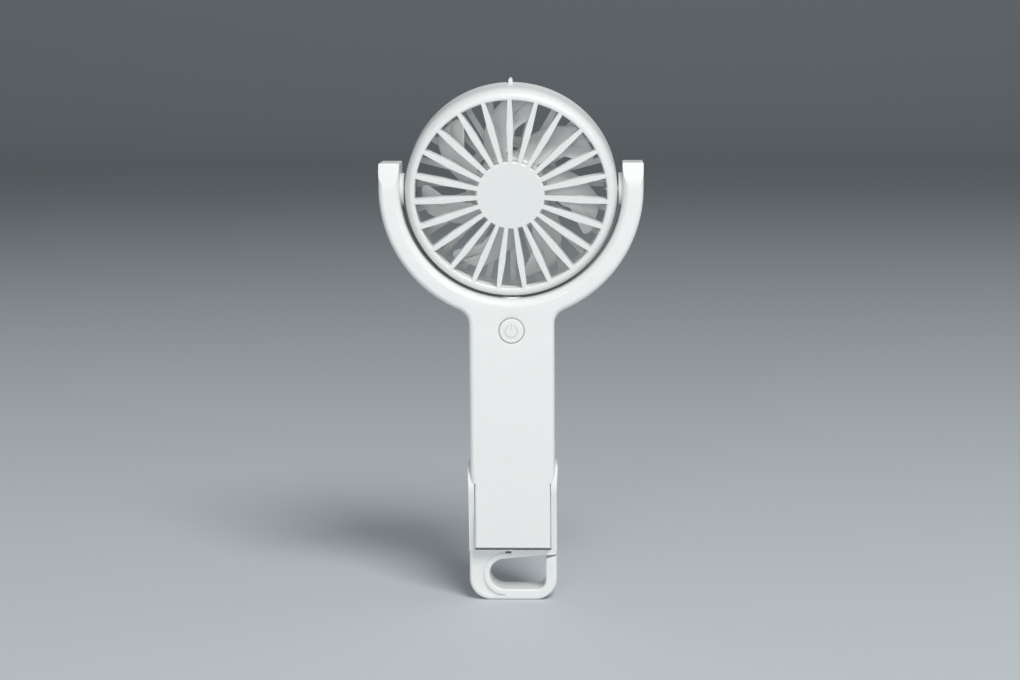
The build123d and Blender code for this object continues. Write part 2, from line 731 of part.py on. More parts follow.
# --- Stand loop -----------------------------------------------------------------------------------
def stand_arm():
    """Right arm of the stand: a plate with a round eye that narrows down to the loop, and its stub."""
    half_loop = loop_depth / 2
    outer_x = loop_half_width + tip_flare
    eye = cross_rod(eye_r, stand_inner, outer_x, hinge_height)
    tangent = arm_taper()
    touch_y = eye_r * math.cos(math.radians(tangent))
    touch_z = hinge_height - eye_r * math.sin(math.radians(tangent))
    points = ((-half_loop, crossbar_z), (half_loop, crossbar_z), (touch_y, touch_z), (-touch_y, touch_z))
    web = extrude(Plane.YZ * make_face(Polyline(*points, close=True)), amount=outer_x)
    web -= block((-overcut, -beyond, 0), (stand_inner, beyond, beyond))
    arm = eye + web
    tip_z = hinge_height + eye_r
    side_x = loop_half_width
    outside = side_x + eye_r
    shave = make_face(
        Polyline(
            (side_x, 0), (side_x, hinge_height + flare_rise), (outer_x, tip_z - tip_chamfer),
            (side_x - tip_bevel, tip_z), (outside, tip_z), (outside, 0),
            close=True,
        )
    )
    arm -= extrude(seam_plane * shave, amount=beyond, both=True)
    stub = cross_rod(stub_r, lower_half_width - wall - stub_reach, stand_inner + bite, hinge_height)
    return arm + stub


def loop_outline():
    """Front view of the loop up to the crossbar's hollow top, without its opening."""
    top = crossbar_z + crossbar_horn
    blank = Pos(0, top / 2) * Rectangle(2 * loop_half_width, top)
    corners = blank.vertices().group_by(Axis.Y)[0]
    return fillet(corners, loop_corner_r)


def ceiling_z(x):
    """Height of the crossbar's underside at x."""
    slope = math.tan(math.radians(ceiling_angle))
    touch_x = eyelet_x - eyelet_r * math.sin(math.radians(ceiling_angle))
    touch_z = eyelet_z + eyelet_r * math.cos(math.radians(ceiling_angle))
    return touch_z + slope * (x - touch_x)


def loop_opening():
    """Opening of the loop: a round left end, a flat floor and a ceiling that rises to the right."""
    touch_x = eyelet_x - eyelet_r * math.sin(math.radians(ceiling_angle))
    body = make_face(
        Polyline(
            (eyelet_x, eyelet_z), (eyelet_x, loop_bar), (opening_right, loop_bar),
            (opening_right, ceiling_z(opening_right)), (touch_x, ceiling_z(touch_x)),
            close=True,
        )
    )
    low_corner = body.vertices().sort_by_distance((opening_right, loop_bar, 0))[0]
    return fillet([low_corner], inner_corner_r) + Pos(eyelet_x, eyelet_z) * Circle(eyelet_r)


def mouth_shape():
    """The way into the loop, between the crossbar's underside and the sloping top of the right post."""
    post_z = ceiling_z(opening_right) - mouth_inner
    side_z = ceiling_z(loop_half_width) - mouth_outer
    past = 2 * overcut
    slope = (side_z - post_z) / (loop_half_width - opening_right)
    inside = opening_right - past
    outside = loop_half_width + past
    outside_z = side_z + slope * past
    shape = make_face(
        Polyline(
            (inside, post_z - past), (opening_right, post_z - past), (opening_right, post_z),
            (outside, outside_z), (outside, max(ceiling_z(outside), outside_z + seat_gap)),
            (loop_half_width, ceiling_z(loop_half_width)), (inside, ceiling_z(inside)),
            close=True,
        )
    )
    post_corner = shape.vertices().sort_by_distance((opening_right, post_z, 0))[0]
    return fillet([post_corner], mouth_corner_r)


def panel_shape():
    """Recessed field on the left post, between the post's edge and the raised rim round the eyelet."""
    left = -loop_half_width + panel_margin
    low = panel_margin
    middle = Pos((left + eyelet_x) / 2, (low + crossbar_z) / 2)
    field = middle * Rectangle(eyelet_x - left, crossbar_z - low)
    for corner_z, corner_r in ((low, loop_corner_r - panel_margin), (crossbar_z, panel_corner_r)):
        field = fillet([field.vertices().sort_by_distance((left, corner_z, 0))[0]], corner_r)
    return field - Pos(eyelet_x, eyelet_z) * Circle(eyelet_r + rim_width)


def face_edges(shape, face_y):
    """Edges of a shape that lie in its front and rear planes, y = -face_y and y = face_y."""
    edges = shape.edges()
    front = edges.filter_by_position(Axis.Y, -face_y - near, -face_y + near)
    return front + edges.filter_by_position(Axis.Y, face_y - near, face_y + near)


def stand_loop():
    """Carabiner loop with its two hinged arms in one moulding."""
    half_loop = loop_depth / 2
    loop = extrude(seam_plane * loop_outline(), amount=half_loop, both=True)
    rim_edges = [edge for edge in face_edges(loop, half_loop) if edge.center().Z < crossbar_z]
    loop = fillet(rim_edges, loop_edge_r)
    loop -= extrude(seam_plane * loop_opening(), amount=loop_depth, both=True)
    hole_edges = face_edges(loop, half_loop)
    hole_edges = [edge for edge in hole_edges if loop_bar - near < edge.center().Z < crossbar_z]
    hole_edges = [edge for edge in hole_edges if abs(edge.center().X) < opening_right + near]
    loop = fillet(hole_edges, opening_edge_r)
    loop -= cross_rod(crossbar_top_r, -beyond, beyond, hinge_height)
    slot_length, slot_height = relief_slot
    slot_z = crossbar_z - relief_slot_drop
    slot = Pos(relief_slot_left + slot_length / 2, slot_z) * SlotOverall(slot_length, slot_height)
    loop -= extrude(seam_plane * slot, amount=loop_depth, both=True)
    loop -= extrude(seam_plane * mouth_shape(), amount=loop_depth, both=True)
    for side in (-1, 1):
        face = Plane((0, side * half_loop, 0), x_dir=(1, 0, 0), z_dir=(0, -1, 0))
        loop -= extrude(face * panel_shape(), amount=panel_depth, both=True)
    arm_left, arm_right = on_both_sides(stand_arm())
    return loop + arm_left + arm_right


# --- Fan head -------------------------------------------------------------------------------------
def spun(profile):
    """Solid of revolution about the head's axis of a face drawn as radius and axial place."""
    return revolve(Plane.XZ * profile, axis=Axis.Z)


def bezel_profile():
    """Section of the grille's outer ring: a lip with a small bead and a rounded front edge."""
    round_width, round_depth = bezel_round
    shoulder = head_r - round_width
    lip_rear = head_front - bezel_lip_depth
    bead = Polyline(
        (head_inner_r, lip_rear), (opening_r, lip_rear), (opening_r, head_front - bezel_bead_r),
        (opening_r + bezel_bead_r, head_front), (shoulder, head_front),
    )
    bend = head_front - round_depth
    edge = EllipticalCenterArc((shoulder, bend), round_width, round_depth, 0, arc_size=90)
    back = Polyline(
        (head_r, bend), (head_r, head_seam), (head_inner_r, head_seam), (head_inner_r, lip_rear)
    )
    return make_face([bead, edge, back])


def spoke():
    """One radial spoke: widest beyond its middle, and deeper towards the ring."""
    inner = hub_disc_r - spoke_root
    outer = opening_r + spoke_root
    half_end = spoke_end_width / 2
    half_mid = spoke_mid_width / 2
    front_view = make_face(
        Polyline(
            (inner, -half_end), (spoke_mid_r, -half_mid), (outer, -half_end),
            (outer, half_end), (spoke_mid_r, half_mid), (inner, half_end),
            close=True,
        )
    )
    side_view = make_face(
        Polyline(
            (inner, head_front), (outer, head_front), (outer, head_front - bezel_lip_depth),
            (inner, head_front - hub_disc_thickness),
            close=True,
        )
    )
    plan = Pos(0, 0, head_front - 2 * bezel_lip_depth) * extrude(front_view, amount=2 * bezel_lip_depth)
    return plan & extrude(Plane.XZ * side_view, amount=spoke_mid_width, both=True)


def front_grille():
    """Front grille in one moulding: outer ring, radial spokes and the flat disc in the middle."""
    disc = rod(hub_disc_r, head_front - hub_disc_thickness, head_front)
    disc = fillet(disc.faces().sort_by(Axis.Z)[-1].edges(), hub_disc_edge_r)
    grille = spun(bezel_profile()) + disc
    first = spoke()
    spokes = [Rot(0, 0, 90 + index * spoke_pitch) * first for index in range(spoke_count)]
    return head_place * (grille + spokes)


def housing_profile():
    """Section of the rear housing's rim and rear plate, out to the rounded rear edge."""
    round_width, round_depth = rear_round
    flat_r = head_r - round_width
    bend = head_rear + round_depth
    outer_edge = EllipticalCenterArc((flat_r, bend), round_width, round_depth, 270, arc_size=90)
    inner_edge = EllipticalCenterArc(
        (flat_r, bend), round_width - head_wall, round_depth - head_wall, 270, arc_size=90
    )
    outside = Polyline((0, head_rear), (flat_r, head_rear))
    lap_outer = head_inner_r - seat_gap
    lap_inner = lap_outer - lap_wall
    lap_foot = head_seam - lap_root
    rim = Polyline(
        (head_r, bend), (head_r, head_seam), (lap_outer, head_seam), (lap_outer, head_seam + lap_height),
        (lap_inner, head_seam + lap_height), (lap_inner, lap_foot), (head_inner_r, lap_foot - lap_slope),
        (head_inner_r, bend),
    )
    inside = Polyline((flat_r, rear_face), (0, rear_face), (0, head_rear))
    return make_face([outside, outer_edge, rim, inner_edge, inside])


def rear_slots():
    """Air slots of the rear grille: a ring cut through the plate, less the radial bars between them."""
    depth = rear_round[1]
    cut = tube(slot_outer_r, slot_inner_r, head_rear - overcut, head_rear + depth)
    length = slot_outer_r - slot_inner_r + 2 * overcut
    bar_middle = (slot_inner_r + slot_outer_r) / 2
    bar = Pos(bar_middle, 0, head_rear) * Box(length, bar_width, 2 * depth + 2 * overcut)
    bars = [Rot(0, 0, 90 + index * slot_pitch) * bar for index in range(slot_count)]
    return cut - bars


def pivot_pads():
    """Flat seats inside the rim for the flanges of the two pivot pins."""
    half = pin_flange_r + pivot_pad_margin
    low = (pin_seat, -half, -half)
    pad = block(low, (head_inner_r + head_wall / 2, half, min(half, head_seam - pivot_pad_seam_gap)))
    left, right = on_both_sides(pad)
    return left + right


def stop_nub():
    """Small nub on the rim's top that meets the pad in the yoke when the head is turned right over."""
    tip = head_r + nub_height
    half = nub_width / 2
    half_top = nub_top_width / 2
    root = head_r - bite
    shoulder = tip - nub_taper
    outline = make_face(
        Polyline(
            (-half, root), (half, root), (half, shoulder),
            (half_top, tip), (-half_top, tip), (-half, shoulder),
            close=True,
        )
    )
    return Pos(0, 0, nub_axial - nub_length / 2) * extrude(outline, amount=nub_length)


def rear_housing():
    """Rear housing: rim, rear grille, skirt and bearing tube for the motor, pivot seats and stop nub."""
    housing = spun(housing_profile())
    housing -= rear_slots()
    root = rear_face - bite
    housing += tube(skirt_r, skirt_r - skirt_wall, root, rear_face + skirt_height)
    notch_low = (skirt_r - skirt_wall - overcut, -2 * lead_r, rear_face)
    housing -= block(notch_low, (skirt_r + overcut, 2 * lead_r, rear_face + 3 * lead_r))
    housing += rod(board_seat_r, root, motor_board_low)
    housing += rod(shoulder_r, root, stator_low)
    housing += rod(tube_r, root, tube_top)
    housing -= rod(tube_bore_r, rear_face, tube_top + overcut)
    housing += pivot_pads() + stop_nub()
    pin_hole = cross_rod(pin_r + seat_gap, pin_seat - overcut, head_r + overcut, 0)
    left, right = on_both_sides(pin_hole)
    return head_place * (housing - left - right)


# --- Impeller and motor ---------------------------------------------------------------------------
def blade_section(radius, width, front, rear):
    """Face across the blade at one radius: a thin plate leaning from its front edge to its rear edge."""
    lean = math.degrees(math.atan2(front - rear, width))
    length = math.hypot(width, front - rear)
    sweep = -blade_sweep * (radius - impeller_hub_r)
    middle = (front + rear) / 2
    plate = Rot(0, 0, -lean) * Ellipse(length / 2, blade_thickness / 2)
    section = Plane((radius, 0, middle), x_dir=(0, -1, 0), z_dir=(1, 0, 0)) * plate
    return Rot(0, 0, sweep) * section


def blade_plan():
    """Outline of one blade seen along the shaft, with both corners of its tip rounded."""
    sides = []
    for side in (1, -1):
        points = []
        for radius, width, _front, _rear in blade_sections:
            turn = math.radians(-blade_sweep * (radius - impeller_hub_r))
            across = side * (width / 2 + blade_trim)
            x = radius * math.cos(turn) - across * math.sin(turn)
            y = radius * math.sin(turn) + across * math.cos(turn)
            points.append((x, y))
        sides.append(points)
    leading, trailing = sides
    root = Polyline(leading[0], trailing[0])
    tip = Polyline(leading[-1], trailing[-1])
    outline = make_face([root, Spline(*leading), Spline(*trailing), tip])
    plan = outline & Circle(blade_tip_r)
    for points, corner_r in zip(sides, blade_corners):
        plan = fillet([plan.vertices().sort_by_distance((*points[-1], 0))[0]], corner_r)
    return plan


def blade():
    """One blade, lofted through its sections and trimmed to its rounded tip."""
    body = loft([blade_section(*section) for section in blade_sections])
    return body & extrude(blade_plan(), amount=blade_reach, both=True)


def impeller():
    """Impeller: a cup-shaped hub with swept blades."""
    hub = tube(impeller_hub_r, cup_outer_r + seat_gap, impeller_rear, impeller_front - impeller_hub_wall)
    face = rod(impeller_hub_r, impeller_front - impeller_hub_wall, impeller_front)
    face = fillet(face.faces().sort_by(Axis.Z)[-1].edges(), impeller_edge_r)
    hub_floor = impeller_front - impeller_hub_wall
    boss = rod(shaft_r + impeller_boss_wall, hub_floor - impeller_boss_height, hub_floor)
    first = blade()
    pitch = 360 / blade_count
    blades = [Rot(0, 0, 90 - blade_start - index * pitch) * first for index in range(blade_count)]
    blades = [each - rod(impeller_hub_r - blade_root, -blade_reach, blade_reach) for each in blades]
    bore = rod(shaft_r + screw_gap, -blade_reach, shaft_top + shaft_end_gap)
    return head_place * (hub + face + boss + blades - bore)


def rotor_cup():
    """Steel cup inside the impeller's hub that carries the magnet."""
    top = impeller_front - impeller_hub_wall - seat_gap
    low = magnet_low - cup_overhang
    cup = tube(cup_outer_r, cup_inner_r, low, top - cup_wall)
    plate = tube(cup_outer_r, shaft_r + impeller_boss_wall + seat_gap, top - cup_wall, top)
    return head_place * (cup + plate)


def ring_magnet():
    """Ring magnet in the rotor cup."""
    return head_place * tube(magnet_outer_r, magnet_inner_r, magnet_low, magnet_high)


def motor_shaft():
    """Steel shaft, from behind its clip into the impeller's hub."""
    return head_place * rod(shaft_r, rear_face + shaft_floor_gap, shaft_top)


def shaft_clip():
    """Retaining clip at the lower end of the shaft."""
    clip = tube(shaft_clip_r, shaft_r + screw_gap, clip_low, clip_low + clip_thickness)
    half_mouth = shaft_clip_mouth / 2
    mouth_top = clip_low + clip_thickness + overcut
    mouth = block((-half_mouth, -beyond, clip_low - overcut), (half_mouth, 0, mouth_top))
    return head_place * (clip - mouth)


def motor_bearings():
    """Sleeve bearings at both ends of the bearing tube."""
    low = clip_low + clip_thickness + clip_bearing_gap
    lower = tube(bearing_r, shaft_r + running_gap, low, low + bearing_length)
    upper = tube(bearing_r, shaft_r + running_gap, tube_top - bearing_length, tube_top)
    return [head_place * lower, head_place * upper]


def stator_core():
    """Laminated core: a ring on the bearing tube with T-shaped poles."""
    core = tube(core_ring_r, tube_r + seat_gap, stator_low, stator_top)
    rim = tube(stator_r, stator_r - pole_shoe, stator_low, stator_top)
    half_pole = pole_width / 2
    half_gap = pole_gap / 2
    web = block((core_ring_r - bite, -half_pole, stator_low), (stator_r - bite, half_pole, stator_top))
    gap = block((0, -half_gap, stator_low - overcut), (stator_r + overcut, half_gap, stator_top + overcut))
    for index in range(stator_poles):
        turn = index * 360 / stator_poles
        core += Rot(0, 0, turn) * web
        rim -= Rot(0, 0, turn + 180 / stator_poles) * gap
    return head_place * (core + rim)


def stator_windings():
    """Copper coils, one round each pole."""
    inner = core_ring_r + coil_ring_gap
    outer = stator_r - pole_shoe - coil_gap
    half = pole_width / 2
    low = stator_low - coil_thickness
    high = stator_top + coil_thickness
    coil = block((inner, -half - coil_side, low), (outer, half + coil_side, high))
    core_low = (inner - overcut, -half - seat_gap, stator_low - seat_gap)
    coil -= block(core_low, (outer + overcut, half + seat_gap, stator_top + seat_gap))
    return [head_place * Rot(0, 0, index * 360 / stator_poles) * coil for index in range(stator_poles)]


def motor_board():
    """Round drive board under the windings, on its seat round the bearing tube."""
    low = motor_board_low
    return head_place * tube(motor_board_r, shoulder_r + seat_gap, low, low + motor_board_thickness)


# --- Tilt pivots ----------------------------------------------------------------------------------
def pivot_bush():
    """Right bush: a round flange beside the head and a sleeve through the arm's inner wall."""
    flange_start = yoke_inner_r - bush_flange
    bush = cross_rod(bush_flange_r, flange_start, yoke_inner_r, pivot_height)
    bush = fillet(bush.faces().sort_by(Axis.X)[0].edges(), bush_flange_edge_r)
    bush += cross_rod(bush_sleeve_r, yoke_inner_r, sleeve_end, pivot_height)
    return bush - cross_rod(bush_bore_r, flange_start - overcut, sleeve_end + overcut, pivot_height)


def pin_steps():
    """Places along the right pin, going outwards: washer, clip and the pin's end."""
    washer = sleeve_end + arm_play
    clip = washer + pivot_washer + seat_gap
    end = clip + pivot_clip + pin_tail
    return washer, clip, end


def pivot_pin():
    """Right pin: a hollow pin flanged inside the head's rim, with a groove for its clip."""
    clip, end = pin_steps()[1:]
    pin = cross_rod(pin_flange_r, pin_seat - pin_flange, pin_seat, 0) + cross_rod(pin_r, pin_seat, end, 0)
    groove = cross_rod(pin_r + overcut, clip, clip + pivot_clip + seat_gap, 0)
    groove -= cross_rod(pin_r - pin_groove, 0, end, 0)
    return pin - groove - cross_rod(pin_bore_r, pin_seat - pin_flange - overcut, end + overcut, 0)


def pivot_washer_ring():
    """Right friction washer between the bush and the clip."""
    washer = pin_steps()[0]
    ring = cross_rod(pin_r + washer_wall, washer, washer + pivot_washer, 0)
    return ring - cross_rod(pin_r + seat_gap, washer - overcut, washer + pivot_washer + overcut, 0)


def pivot_clip_ring():
    """Right retaining clip in the pin's groove, open on one side."""
    clip = pin_steps()[1]
    ring_end = clip + pivot_clip + overcut
    half_mouth = pin_r - clip_lip
    ring = cross_rod(pin_r + clip_wall, clip, clip + pivot_clip, 0)
    ring -= cross_rod(pin_r - pin_groove + seat_gap, clip - overcut, ring_end, 0)
    return ring - block((clip - overcut, -half_mouth, -beyond), (ring_end, half_mouth, 0))


# --- Output ---------------------------------------------------------------------------------------
def turned(pair):
    """Both copies of a pivot piece, moved from the head's own axes to the part's axes."""
    return [Location((0, 0, pivot_height), (head_tilt, 0, 0)) * piece for piece in pair]


def all_nodes():
    """Every node of the part by name, each a solid or a list of separate solids."""
    right_bush, left_bush = on_both_sides(pivot_bush())
    right_pin, left_pin = turned(on_both_sides(pivot_pin()))
    return {
        "front_shell": front_shell(),
        "rear_shell": rear_shell(),
        "shell_screws": shell_screws(),
        "battery_cell": battery_cell(),
        "battery_pads": battery_pads(),
        "battery_tabs": battery_tabs(),
        "battery_leads": battery_leads(),
        "handle_lead": handle_lead(),
        "control_board": control_board(),
        "board_components": board_components(),
        "board_screws": board_screws(),
        "tact_switch": tact_switch(),
        "usb_socket": usb_socket(),
        "left_pivot_bush": left_bush,
        "right_pivot_bush": right_bush,
        "power_button": power_button(),
        "switch_plunger": switch_plunger(),
        "stand_loop": stand_loop(),
        "front_grille": front_grille(),
        "rear_housing": rear_housing(),
        "left_pivot_pin": left_pin,
        "right_pivot_pin": right_pin,
        "pivot_washers": turned(on_both_sides(pivot_washer_ring())),
        "pivot_clips": turned(on_both_sides(pivot_clip_ring())),
        "stator_core": stator_core(),
        "stator_windings": stator_windings(),
        "motor_board": motor_board(),
        "motor_bearings": motor_bearings(),
        "head_lead": head_lead(),
        "impeller": impeller(),
        "rotor_cup": rotor_cup(),
        "ring_magnet": ring_magnet(),
        "motor_shaft": motor_shaft(),
        "shaft_clip": shaft_clip(),
    }


def write_parts(nodes):
    """Write each node to its own STEP file."""
    os.makedirs("parts", exist_ok=True)
    for name, shape in nodes.items():
        solids = list(shape) if isinstance(shape, (list, tuple)) else shape.solids()
        whole = solids[0] if len(solids) == 1 else Compound(children=list(solids))
        export_step(whole, f"parts/{name}.step")


write_parts(all_nodes())
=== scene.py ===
import json
import math

import bpy
import numpy as np
from mathutils import Matrix, Vector


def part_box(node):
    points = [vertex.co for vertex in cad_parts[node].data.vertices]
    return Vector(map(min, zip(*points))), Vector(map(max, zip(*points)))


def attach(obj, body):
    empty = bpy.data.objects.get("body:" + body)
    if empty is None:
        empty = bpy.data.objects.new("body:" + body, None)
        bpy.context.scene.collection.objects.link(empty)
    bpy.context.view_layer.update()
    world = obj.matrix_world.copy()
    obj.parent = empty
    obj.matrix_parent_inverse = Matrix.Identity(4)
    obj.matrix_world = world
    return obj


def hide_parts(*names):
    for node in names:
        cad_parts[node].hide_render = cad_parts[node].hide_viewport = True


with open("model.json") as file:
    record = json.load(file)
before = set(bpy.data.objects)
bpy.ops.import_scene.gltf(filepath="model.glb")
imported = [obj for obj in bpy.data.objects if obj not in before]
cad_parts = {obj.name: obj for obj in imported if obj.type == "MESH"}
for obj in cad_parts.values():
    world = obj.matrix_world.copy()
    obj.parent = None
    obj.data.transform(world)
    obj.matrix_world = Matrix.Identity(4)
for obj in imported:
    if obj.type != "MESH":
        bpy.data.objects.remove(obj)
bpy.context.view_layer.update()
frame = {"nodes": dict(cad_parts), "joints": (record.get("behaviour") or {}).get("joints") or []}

# Dresses the hand fan: a finish for every node, a few pieces too fine for the solids, and a studio.
# The file is laid out as an add-on with one operator for each group of pieces, which main() calls in order.
# Lengths are metres. Angles in the properties are radians, because Blender shows those in degrees.

bl_info = {
    "name": "Hand Fan",
    "version": (1, 0, 0),
    "blender": (4, 5, 0),
    "location": "3D View > Sidebar > Hand Fan",
    "description": "Finishes, fine pieces and a studio for a rechargeable hand fan",
    "category": "Object",
}

MILLIMETRE = 0.001
FULL_TURN = 2 * math.pi

SMOOTH_ANGLE = math.radians(28)  # faces that meet at a sharper angle keep a crisp edge
FLAT_FACE_WEIGHT = 90  # of 100: how far large flat faces set the normals along their edges
WELD_DISTANCE = 1e-6

SENSOR_WIDTH = 36  # of the camera, in millimetres
IMAGE_WIDTH = 1020  # of the picture, in pixels


# --- Shader expressions ---------------------------------------------------------------------------
class Field:
    """A number that varies over a surface. Each operator on it adds a Math node to its finish."""

    def __init__(self, finish, socket):
        self.finish = finish
        self.socket = socket

    def __add__(self, other):
        return self.finish.maths("ADD", self, other)

    def __sub__(self, other):
        return self.finish.maths("SUBTRACT", self, other)

    def __mul__(self, other):
        return self.finish.maths("MULTIPLY", self, other)

    def __radd__(self, other):
        return self.finish.maths("ADD", other, self)

    def __rsub__(self, other):
        return self.finish.maths("SUBTRACT", other, self)

    def __lt__(self, other):
        return self.finish.maths("LESS_THAN", self, other)

    def __gt__(self, other):
        return self.finish.maths("GREATER_THAN", self, other)

    def __abs__(self):
        return self.finish.maths("ABSOLUTE", self)


class Finish:
    """A material whose nodes are added one expression at a time round a Principled shader."""

    def __init__(self, name):
        self.material = bpy.data.materials.new(name)
        self.material.use_nodes = True
        self.tree = self.material.node_tree
        self.shader = self.tree.nodes["Principled BSDF"]

    def node(self, kind, settings, sockets):
        """Add a node, give it its settings and then its socket values or links."""
        node = self.tree.nodes.new(kind)
        for name, value in settings.items():
            setattr(node, name, value)
        for name, value in sockets.items():
            self.feed(node.inputs[name], value)
        return node

    def feed(self, socket, value):
        """Link a field or socket to a socket, or set its plain value."""
        if isinstance(value, Field):
            value = value.socket
        if isinstance(value, bpy.types.NodeSocket):
            self.tree.links.new(value, socket)
        else:
            socket.default_value = value

    def maths(self, operation, *values):
        node = self.node("ShaderNodeMath", {"operation": operation}, dict(enumerate(values)))
        return Field(self, node.outputs[0])

    def place(self, scale=(1, 1, 1), shift=(0, 0, 0)):
        """Object coordinates, scaled along each axis and then moved by shift."""
        coordinates = self.node("ShaderNodeTexCoord", {}, {})
        sockets = {"Vector": coordinates.outputs["Object"], "Location": shift, "Scale": scale}
        return self.node("ShaderNodeMapping", {"vector_type": "POINT"}, sockets).outputs["Vector"]

    def axes(self, place):
        """The three numbers of a place."""
        split = self.node("ShaderNodeSeparateXYZ", {}, {"Vector": place})
        return [Field(self, split.outputs[axis]) for axis in "XYZ"]

    def noise(self, place, grain, detail=2.0, rough=0.5):
        """Noise from 0 to 1 with features of about the given size."""
        sockets = {"Vector": place, "Scale": 1 / grain, "Detail": detail, "Roughness": rough}
        return Field(self, self.node("ShaderNodeTexNoise", {}, sockets).outputs["Fac"])

    def tint(self, factor, low, high):
        """Colour that goes from low to high as the factor goes from 0 to 1."""
        node = self.node("ShaderNodeMix", {"data_type": "RGBA"}, {"Factor": factor})
        colours = [socket for socket in node.inputs if socket.type == "RGBA"]
        for socket, colour in zip(colours, (low, high)):
            self.feed(socket, colour if isinstance(colour, bpy.types.NodeSocket) else (*colour, 1))
        return next(socket for socket in node.outputs if socket.type == "RGBA")

    def bump(self, height, depth):
        """Normal of a surface whose height field runs from 0 to 1 over the given depth."""
        return self.node("ShaderNodeBump", {}, {"Height": height, "Distance": depth}).outputs["Normal"]

    def surface(self, sockets):
        """Set or link sockets of the shader."""
        for name, value in sockets.items():
            self.feed(self.shader.inputs[name], value)
        return self.material


def shade(colour, factor):
    """The colour made lighter or darker by a factor."""
    return [min(channel * factor, 1) for channel in colour]


# --- Finishes -------------------------------------------------------------------------------------
def moulded_plastic(name, colour, roughness, grain_depth, mark_depth=None):
    """Satin moulding: a fine eroded grain, a slow drift of tone, and patches polished by handling.

    What stands in front of the given depth along Y, such as a raised symbol, is tinted a little darker.
    """
    mark_tone = 0.84
    finish = Finish(name)
    place = finish.place()
    grain = finish.noise(place, 0.35 * MILLIMETRE, 3)
    drift = finish.noise(place, 24 * MILLIMETRE, 2)
    handled = finish.noise(place, 9 * MILLIMETRE, 4, 0.6)
    tone = finish.tint(drift, shade(colour, 0.975), shade(colour, 1.015))
    if mark_depth is not None:
        tone = finish.tint(finish.axes(place)[1] < mark_depth, tone, shade(colour, mark_tone))
    return finish.surface({
        "Base Color": tone,
        "Roughness": roughness + (handled - 0.5) * 0.10 + (grain - 0.5) * 0.06,
        "Normal": finish.bump(grain, grain_depth),
        "IOR": 1.49,
        "Subsurface Weight": 0.35,
        "Subsurface Radius": (1.0, 0.95, 0.9),
        "Subsurface Scale": 1.5 * MILLIMETRE,
    })


def turned_metal(name, colour, roughness):
    """Metal with fine marks round the X axis, and a faint bloom."""
    finish = Finish(name)
    marks = finish.noise(finish.place(scale=(14, 1, 1)), 1.6 * MILLIMETRE, 4, 0.7)
    bloom = finish.noise(finish.place(), 3 * MILLIMETRE, 3)
    return finish.surface({
        "Base Color": finish.tint(bloom, shade(colour, 0.86), shade(colour, 1.08)),
        "Metallic": 1.0,
        "Roughness": roughness + (marks - 0.5) * 0.18,
        "Normal": finish.bump(marks, 0.02 * MILLIMETRE),
    })


def wound_copper(name, colour):
    """Enamelled wire: copper with a faint bloom under a clear coat."""
    finish = Finish(name)
    bloom = finish.noise(finish.place(), 1.5 * MILLIMETRE, 3)
    return finish.surface({
        "Base Color": finish.tint(bloom, shade(colour, 0.75), shade(colour, 1.1)),
        "Metallic": 1.0,
        "Roughness": 0.28 + (bloom - 0.5) * 0.15,
        "Coat Weight": 0.6,
        "Coat Roughness": 0.12,
    })


def printed_board(name, colour):
    """Green resist over copper tracks between bare square cells, with a trace of the glass weave."""
    cell_size = 2.6 * MILLIMETRE
    bare_share = 0.34
    track_strength = 0.45
    track_green = (0.16, 0.42, 0.17)
    finish = Finish(name)
    cells = finish.node(
        "ShaderNodeTexVoronoi",
        {"distance": "CHEBYCHEV", "feature": "F1"},
        {"Vector": finish.place(), "Scale": 1 / cell_size, "Randomness": 0.6},
    )
    tracks = Field(finish, cells.outputs["Distance"]) > bare_share
    weave = finish.noise(finish.place(scale=(3, 1, 1)), 1.2 * MILLIMETRE, 2)
    resist = finish.tint(weave, shade(colour, 0.85), shade(colour, 1.15))
    return finish.surface({
        "Base Color": finish.tint(tracks * track_strength, resist, track_green),
        "Roughness": 0.32 + weave * 0.1,
        "Normal": finish.bump(tracks, 0.03 * MILLIMETRE),
    })


def shrink_wrap(name, colour):
    """Thin glossy film that puckers in fine folds near the ends of the cell."""
    reach = 3 * MILLIMETRE
    finish = Finish(name)
    low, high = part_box("battery_cell")
    along = finish.axes(finish.place())[2]
    low_end = (low.z + reach - along) * (1 / reach)
    high_end = (along - high.z + reach) * (1 / reach)
    ends = finish.maths("MAXIMUM", finish.maths("MAXIMUM", low_end, high_end), 0)
    folds = finish.noise(finish.place(scale=(1, 1, 0.15)), 0.8 * MILLIMETRE, 2)
    return finish.surface({
        "Base Color": finish.tint(folds, shade(colour, 0.9), shade(colour, 1.1)),
        "Roughness": 0.25 + folds * 0.1,
        "Normal": finish.bump(folds * ends, 0.15 * MILLIMETRE),
        "Coat Weight": 0.4,
    })


def rough_grain(name, colour, roughness, grain, depth):
    """Black moulding, foam or bonded magnet: a rough grain of the given size and depth."""
    finish = Finish(name)
    pores = finish.noise(finish.place(), grain, 4, 0.65)
    return finish.surface({
        "Base Color": finish.tint(pores, shade(colour, 0.7), shade(colour, 1.4)),
        "Roughness": roughness + (pores - 0.5) * 0.2,
        "Normal": finish.bump(pores, depth),
    })


def wire_cover(name, colour):
    """Soft glossy insulation with a faint ripple from the strands under it."""
    finish = Finish(name)
    ripple = finish.noise(finish.place(), 0.6 * MILLIMETRE, 2)
    return finish.surface({
        "Base Color": finish.tint(ripple, shade(colour, 0.85), shade(colour, 1.2)),
        "Roughness": 0.38 + (ripple - 0.5) * 0.15,
        "Normal": finish.bump(ripple, 0.02 * MILLIMETRE),
    })


